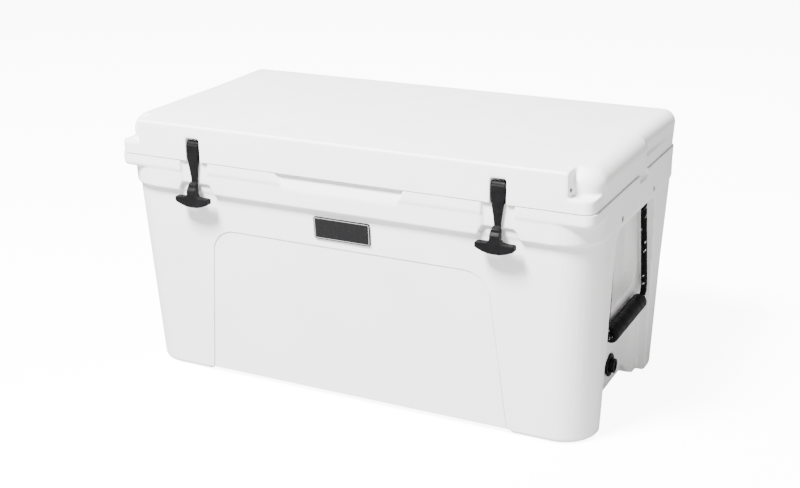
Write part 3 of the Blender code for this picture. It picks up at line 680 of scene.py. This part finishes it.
def braided_leg(name, points, look, fleck_look):
    """A diamond braid of eight strands each way round a core, with two pale tracer strands."""
    spacing = 0.0016
    line = resample(points, spacing)
    middle_radius = 0.0042
    weave = 0.00035
    pieces = [tube(name, line, 0.0040, 3)]
    for turn in (1, -1):
        for strand in range(STRANDS):
            route = []
            for index, place in enumerate(line):
                ahead = line[min(index + 1, len(line) - 1)]
                behind = line[max(index - 1, 0)]
                way = (ahead - behind).normalized()
                side_way = way.cross(Vector((1, 0, 0))).normalized()
                third = way.cross(side_way)
                share = index * spacing / STRAND_PITCH
                angle = math.tau * (turn * share + strand / STRANDS)
                reach = middle_radius + turn * weave * math.cos(math.tau * STRANDS * share)
                out = side_way * math.cos(angle) + third * math.sin(angle)
                route.append(place + reach * out)
            yarn = tube(f"{name}_{turn}_{strand}", route, 0.00112, 1)
            tracer = turn > 0 and strand % 4 == 0
            for polygon in yarn.data.polygons:
                polygon.use_smooth = True
            yarn.data.materials.append(look)
            yarn.data.materials.append(fleck_look)
            if tracer:
                for polygon in yarn.data.polygons:
                    height = polygon.center.z + 0.004 * strand
                    polygon.material_index = int((height % 0.021) < 0.0045)
            pieces.append(yarn)
    pieces[0].data.materials.append(look)
    pieces[0].data.materials.append(fleck_look)
    return join_pieces(pieces, name)


def make_handle(side, end, rope_look, fleck_look, grip_look):
    legs = []
    for row, along in (("rear", 1), ("front", -1)):
        legs.append(braided_leg(
            f"rope_{row}_{side}", handle_leg(end, along), rope_look, fleck_look))
    rope = join_pieces(legs, f"rope_{side}")
    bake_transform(rope)
    nodes = [f"handle_rope_{side}", f"rope_end_front_{side}", f"rope_end_rear_{side}"]
    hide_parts(*nodes)
    grip = add_bar(
        f"grip_{side}", GRIP_RADIUS, (end * GRIP_X, END_MID - GRIP_HALF, GRIP_Z),
        (end * GRIP_X, END_MID + GRIP_HALF, GRIP_Z), 64)
    round_edges(grip, lambda edge: not runs_along(edge, "Y"), 0.0045, 6)
    carve(grip, add_bar(
        "grip_bore", GRIP_BORE, (end * GRIP_X, END_MID - 0.1, GRIP_Z),
        (end * GRIP_X, END_MID + 0.1, GRIP_Z), 48))
    dress(smooth(grip, 40), grip_look, f"handle_{side}", "rubber", f"handle_grip_{side}")


# Drain

def make_drain(plastic, rubber):
    """A ribbed knob on a flange, and its soft washer; the sleeve that lines the hole is left as it
    is in the model.
    """
    def at(x):
        return Vector((x - 0.0040, END_MID, DRAIN_Z))

    flange = add_bar("drain_cap", 0.0200, at(0.3889), at(0.3928), 64)
    round_edges(flange, lambda edge: not runs_along(edge, "X"), 0.0012, 3)
    knob = add_bar("knob", 0.0122, at(0.3915), at(0.4000), 64)
    round_edges(knob, lambda edge: not runs_along(edge, "X") and middle(edge).x > 0.399, 0.0014, 3)
    ribs = []
    for index in range(16):
        angle = math.tau * index / 16
        out = Vector((0, math.cos(angle), math.sin(angle))) * 0.0126
        ribs.append(add_bar("rib_gap", 0.0011, at(0.3935) + out, at(0.41) + out, 12))
    carve(knob, *ribs)
    dish = add_bar("dish", 0.0075, at(0.3988), at(0.41), 48)
    carve(knob, dish)
    shank = add_bar("shank", 0.0090, at(0.352), at(0.391), 48)
    weld_on(flange, knob, shank)
    dress(smooth(flange), plastic, "drain_plug", "black_plastic", "drain_plug")
    washer = add_bar("drain_washer_ring", 0.0165, at(0.3858), at(0.3886), 64)
    round_edges(washer, lambda edge: not runs_along(edge, "X"), 0.0010, 3)
    carve(washer, add_bar("washer_hole", 0.0094, at(0.38), at(0.40), 48))
    dress(smooth(washer), rubber, "drain_washer", "rubber", "drain_seal")


# Small hardware

def make_screw(name, place, way, radius, height, look, body, node):
    """A pan head with a cross recess; way points out of the surface."""
    way = Vector(way)
    place = Vector(place)
    head = add_bar(name, radius, place, place + way * height, 40)
    top = place + way * height

    def at_top(edge):
        return all((vertex.co - top).dot(way) > -1e-5 for vertex in edge.verts)

    round_edges(head, at_top, height * 0.55, 5)
    arm = radius * 0.62
    thin = radius * 0.13
    deep = height * 0.8
    for tall, wide in ((arm, thin), (thin, arm)):
        carve(head, add_box(
            "cross", (top.x - deep, top.y - wide, top.z - tall),
            (top.x + deep, top.y + wide, top.z + tall)))
    dress(smooth(head), look, body, "steel", node)


def make_feet(look):
    """Rubber pads with shallow grooves across the tread."""
    for row in ("front", "rear"):
        for side, end in SIDES:
            node = f"foot_pad_{row}_{side}"
            low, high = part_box(node)
            pad = add_box(f"tread_{row}_{side}", low, high)
            round_edges(pad, lambda edge: runs_along(edge, "Z"), 0.010, 6)
            round_edges(
                pad, lambda edge: all(vertex.co.z < 1e-5 for vertex in edge.verts), 0.0010, 3)
            for index in range(6):
                y = low.y + (index + 1) * (high.y - low.y) / 7
                carve(pad, add_box(
                    "groove", (low.x - 0.01, y - 0.0010, -0.01),
                    (high.x + 0.01, y + 0.0010, 0.0008)))
            dress(smooth(pad), look, "cooler_body", "rubber", node)


def make_badge(face_look, border_look):
    """A blank plate with a thin metal border line, lying on the leaning front wall."""
    low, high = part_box("name_plate")
    lean = math.atan(0.0693)
    centre = (low + high) / 2
    half_width = 0.051
    half_tall = 0.019
    badge = add_box(
        "badge_plate", (-half_width, -0.001, -half_tall), (half_width, 0.001, half_tall))
    margin = 0.0016
    border = 0.0009
    round_edges(badge, lambda edge: runs_along(edge, "Y"), 0.004, 6)
    pick(badge, "FACE", lambda face: face.normal.y < -0.9)
    bpy.ops.mesh.inset(thickness=margin)
    bpy.ops.mesh.inset(thickness=border)
    done()
    badge.data.materials.append(face_look)
    badge.data.materials.append(border_look)
    for polygon in badge.data.polygons:
        spot = polygon.center
        on_front = polygon.normal.y < -0.9
        near_side = min(half_width - abs(spot.x), half_tall - abs(spot.z))
        polygon.material_index = int(on_front and margin < near_side < margin + border)
    badge.data.transform(Matrix.Translation(centre) @ Matrix.Rotation(lean, 4, "X"))
    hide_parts("name_plate")
    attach(badge, "cooler_body")
    smooth(badge)


def dress(piece, look, body, slot, *nodes):
    """Gives a finished piece its material and its body, and hides the nodes it stands for."""
    piece.data.materials.clear()
    piece.data.materials.append(look)
    if nodes:
        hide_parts(*nodes)
    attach(piece, body)
    return piece


# Materials

def linear(code):
    """An sRGB hex colour as linear RGBA."""
    values = [int(code[index:index + 2], 16) / 255 for index in (1, 3, 5)]
    return [v / 12.92 if v <= 0.04045 else ((v + 0.055) / 1.055) ** 2.4 for v in values] + [1]


def add_node(tree, kind, links=None, **settings):
    """Adds a node; settings name its attributes or input sockets, links feed its inputs."""
    node = tree.nodes.new(kind)
    for key, value in settings.items():
        if hasattr(node, key):
            setattr(node, key, value)
        else:
            node.inputs[key.replace("_", " ")].default_value = value
    for key, source in (links or {}).items():
        tree.links.new(source, node.inputs[key])
    return node


def new_look(name, colour, roughness, metallic=0.0, **settings):
    look = bpy.data.materials.new(name)
    look.use_nodes = True
    tree = look.node_tree
    shader = tree.nodes["Principled BSDF"]
    shader.inputs["Base Color"].default_value = linear(colour)
    shader.inputs["Roughness"].default_value = roughness
    shader.inputs["Metallic"].default_value = metallic
    for key, value in settings.items():
        shader.inputs[key.replace("_", " ")].default_value = value
    place = add_node(tree, "ShaderNodeTexCoord").outputs["Object"]
    return look, tree, shader, place


def vary(tree, place, size, low, high, detail=2.0):
    """A value that drifts between low and high in patches of the given size in metres."""
    noise = add_node(
        tree, "ShaderNodeTexNoise", {"Vector": place}, Scale=1 / size, Detail=detail)
    return add_node(
        tree, "ShaderNodeMapRange", {"Value": noise.outputs["Fac"]},
        From_Min=0.3, From_Max=0.7, To_Min=low, To_Max=high).outputs["Result"]


def tint(tree, value, colour_a, colour_b):
    ramp = add_node(tree, "ShaderNodeValToRGB", {"Fac": value})
    ramp.color_ramp.elements[0].color = linear(colour_a)
    ramp.color_ramp.elements[1].color = linear(colour_b)
    return ramp.outputs["Color"]


def bumps(tree, shader, height, strength, distance):
    bump = add_node(
        tree, "ShaderNodeBump", {"Height": height}, Strength=strength, Distance=distance)
    tree.links.new(bump.outputs["Normal"], shader.inputs["Normal"])


def rotomoulded_polyethylene():
    """Powder fused against a blasted mould: satin white with a fine, slightly uneven skin."""
    look, tree, shader, place = new_look("rotomoulded_polyethylene_white", "#EAE9E8", 0.46)
    tree.links.new(
        tint(tree, vary(tree, place, 0.12, 0.0, 1.0), "#E8E7E6", "#ECEBEA"),
        shader.inputs["Base Color"])
    tree.links.new(vary(tree, place, 0.035, 0.41, 0.52), shader.inputs["Roughness"])
    grain = vary(tree, place, 0.0011, 0.0, 1.0, 1.0)
    sag = vary(tree, place, 0.045, 0.0, 1.0, 0.0)
    both = add_node(tree, "ShaderNodeMath", {0: grain, 1: sag}, operation="MULTIPLY_ADD")
    tree.links.new(sag, both.inputs[2])
    bumps(tree, shader, both.outputs["Value"], 0.10, 0.0006)
    return look


def moulded_rubber():
    """Black rubber from a matt mould: soft sheen, faint dust in random patches."""
    look, tree, shader, place = new_look(
        "moulded_black_rubber", "#0B0B0C", 0.52, Specular_IOR_Level=0.08)
    tree.links.new(
        tint(tree, vary(tree, place, 0.012, 0.0, 1.0), "#080809", "#0F0F10"),
        shader.inputs["Base Color"])
    tree.links.new(vary(tree, place, 0.006, 0.44, 0.62), shader.inputs["Roughness"])
    bumps(tree, shader, vary(tree, place, 0.0008, 0.0, 1.0), 0.25, 0.0002)
    return look


def grip_rubber():
    """The grip's moulded sleeve, with a pebbled skin about a millimetre across."""
    look, tree, shader, place = new_look(
        "pebbled_black_grip", "#0A0A0A", 0.50, Specular_IOR_Level=0.08)
    cells = add_node(
        tree, "ShaderNodeTexVoronoi", {"Vector": place}, Scale=1 / 0.0016, feature="SMOOTH_F1")
    tree.links.new(vary(tree, place, 0.010, 0.44, 0.60), shader.inputs["Roughness"])
    bumps(tree, shader, cells.outputs["Distance"], 0.35, 0.0004)
    return look


def braided_polyester(name, colour_a, colour_b):
    """Twisted filament yarn: fine threads across each strand, dull with a little sheen."""
    look, tree, shader, place = new_look(name, colour_a, 0.72, Specular_IOR_Level=0.08)
    tree.links.new(
        tint(tree, vary(tree, place, 0.0015, 0.0, 1.0), colour_a, colour_b),
        shader.inputs["Base Color"])
    threads = add_node(
        tree, "ShaderNodeTexNoise", {"Vector": place}, Scale=1 / 0.0005, Detail=3.0)
    bumps(tree, shader, threads.outputs["Fac"], 0.6, 0.0002)
    return look


def moulded_plastic():
    """Injection-moulded black nylon with a satin skin."""
    look, tree, shader, place = new_look(
        "moulded_black_nylon", "#0B0B0C", 0.40, Specular_IOR_Level=0.12)
    tree.links.new(vary(tree, place, 0.005, 0.34, 0.50), shader.inputs["Roughness"])
    bumps(tree, shader, vary(tree, place, 0.0006, 0.0, 1.0), 0.15, 0.0001)
    return look


def turned_steel():
    """Stainless steel, turned and tumbled, with faint scratches."""
    look, tree, shader, place = new_look("tumbled_stainless_steel", "#7E7F82", 0.28, 1.0)
    tree.links.new(vary(tree, place, 0.002, 0.20, 0.42, 4.0), shader.inputs["Roughness"])
    bumps(tree, shader, vary(tree, place, 0.0004, 0.0, 1.0), 0.2, 0.00005)
    return look


def gasket_rubber():
    """Extruded soft seal, dull dark grey."""
    look, tree, shader, place = new_look("extruded_grey_seal", "#3A3A3C", 0.65)
    tree.links.new(vary(tree, place, 0.008, 0.55, 0.75), shader.inputs["Roughness"])
    bumps(tree, shader, vary(tree, place, 0.001, 0.0, 1.0), 0.2, 0.0002)
    return look


def blown_foam():
    """Rigid polyurethane foam, cream, with cells about two millimetres across and painted shade in
    their hollows.
    """
    look, tree, shader, place = new_look("blown_polyurethane_foam", "#E6DAAE", 0.9)
    cells = add_node(tree, "ShaderNodeTexVoronoi", {"Vector": place}, Scale=1 / 0.002)
    # Painted shade: the colour darkens towards the middle of each cell, where the bump below sinks
    # it deepest.
    tree.links.new(
        tint(tree, cells.outputs["Distance"], "#D8C994", "#EFE5C0"), shader.inputs["Base Color"])
    bumps(tree, shader, cells.outputs["Distance"], 0.6, 0.0008)
    return look


def enamelled_badge():
    """Gloss black enamel, nearly flat, with a trace of orange peel."""
    look, tree, shader, place = new_look(
        "gloss_black_enamel", "#060607", 0.30, Specular_IOR_Level=0.20)
    tree.links.new(vary(tree, place, 0.010, 0.18, 0.30), shader.inputs["Roughness"])
    bumps(tree, shader, vary(tree, place, 0.0015, 0.0, 1.0), 0.1, 0.0001)
    return look


def badge_border():
    """A thin line of bare, satin aluminium round the badge."""
    look, tree, shader, place = new_look("satin_aluminium_line", "#C9CACC", 0.35, 1.0)
    tree.links.new(vary(tree, place, 0.002, 0.30, 0.45), shader.inputs["Roughness"])
    return look


# Stage

def make_camera():
    """Right of centre and above, with a long lens, so that the front and the right end show."""
    azimuth = math.radians(CAMERA_AZIMUTH)
    elevation = math.radians(CAMERA_ELEVATION)
    roll = math.radians(CAMERA_ROLL)
    data = bpy.data.cameras.new("camera")
    data.lens = CAMERA_LENS
    data.sensor_width = 36
    data.clip_start = 0.05
    camera = bpy.data.objects.new("camera", data)
    bpy.context.scene.collection.objects.link(camera)
    back = Vector((
        math.sin(azimuth) * math.cos(elevation), -math.cos(azimuth) * math.cos(elevation),
        math.sin(elevation)))
    across = Vector((math.cos(azimuth), math.sin(azimuth), 0))
    up = back.cross(across)
    right = across * math.cos(roll) + up * math.sin(roll)
    above = up * math.cos(roll) - across * math.sin(roll)
    turn = Matrix((right, above, back)).transposed()
    camera.matrix_world = Matrix.Translation(CAMERA_PLACE) @ turn.to_4x4()
    bpy.context.scene.camera = camera


def add_light(name, place, target, size, power):
    data = bpy.data.lights.new(name, "AREA")
    data.shape = "RECTANGLE"
    data.size = size[0]
    data.size_y = size[1]
    data.energy = power
    lamp = bpy.data.objects.new(name, data)
    bpy.context.scene.collection.objects.link(lamp)
    lamp.location = place
    lamp.rotation_euler = (Vector(place) - Vector(target)).to_track_quat("Z", "Y").to_euler()


def make_stage():
    """A lit white table: bright where it is seen, but giving little light back to the sides."""
    floor = add_box("floor", (-12, -12, -0.02), (12, 12, 0))
    look, tree, shader, _ = new_look("backlit_white_table", "#FFFFFF", 0.9)
    seen = add_node(tree, "ShaderNodeLightPath").outputs["Is Camera Ray"]
    tree.links.new(tint(tree, seen, "#A6A6A6", "#FFFFFF"), shader.inputs["Base Color"])
    shader.inputs["Emission Color"].default_value = (1, 1, 1, 1)
    glow = add_node(tree, "ShaderNodeMath", {0: seen}, operation="MULTIPLY")
    glow.inputs[1].default_value = TABLE_GLOW
    tree.links.new(glow.outputs["Value"], shader.inputs["Emission Strength"])
    floor.data.materials.append(look)
    world = bpy.data.worlds.new("studio")
    bpy.context.scene.world = world
    world.use_nodes = True
    background = world.node_tree.nodes["Background"]
    background.inputs["Color"].default_value = (1, 1, 1, 1)
    background.inputs["Strength"].default_value = WORLD_LIGHT
    add_light("key", (-0.62, -1.9, 3.2), (0, 0, 0.3), (0.9, 0.9), KEY_WATTS)
    add_light("side_fill", (2.3, -1.5, 0.6), (0.4, 0.1, 0.2), (1.2, 1.0), FILL_WATTS)
    make_camera()


shell = rotomoulded_polyethylene()
rubber = moulded_rubber()
plastic = moulded_plastic()
steel = turned_steel()
seal = gasket_rubber()
foam = blown_foam()
rope_black = braided_polyester("braided_black_polyester", "#080809", "#111112")
rope_fleck = braided_polyester("pale_tracer_polyester", "#C9C9C6", "#E4E4E0")
tub = make_tub()
tub.data.materials.clear()
tub.data.materials.append(shell)
for lid_piece in make_lid():
    lid_piece.data.materials.clear()
    lid_piece.data.materials.append(shell)
make_knuckles(shell)
make_gasket(seal)
make_feet(rubber)
make_badge(enamelled_badge(), badge_border())
make_drain(plastic, rubber)
grip_look = grip_rubber()
for side_name, direction in SIDES:
    make_latch(side_name, direction, rubber)
    make_handle(side_name, direction, rope_black, rope_fleck, grip_look)
    for row_name, way in (("front", -1), ("rear", 1)):
        make_screw(
            f"screw_{row_name}_{side_name}",
            (direction * (HALF_LENGTH - 0.0029), END_MID + way * ROPE_SPAN, SCREW_Z),
            (direction, 0, 0), 0.0043, 0.0024, steel, "cooler_body",
            f"handle_screw_{row_name}_{side_name}")
    make_screw(
        f"corner_screw_{side_name}", (direction * NOTCH_X, FRONT + 0.0105, 0.429),
        (direction, 0, 0), 0.0032, 0.0022, steel, "lid", f"lid_corner_screw_{side_name}")
node_looks = {
    "body_foam": foam, "lid_foam": foam, "body_foam_plug": plastic, "lid_foam_plug": plastic,
    "drain_insert": plastic, "hinge_pin_left": steel, "hinge_pin_right": steel,
    "latch_pin_left": steel, "latch_pin_right": steel}
for node_name, look in node_looks.items():
    for material_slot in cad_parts[node_name].material_slots:
        material_slot.material = look
make_stage()
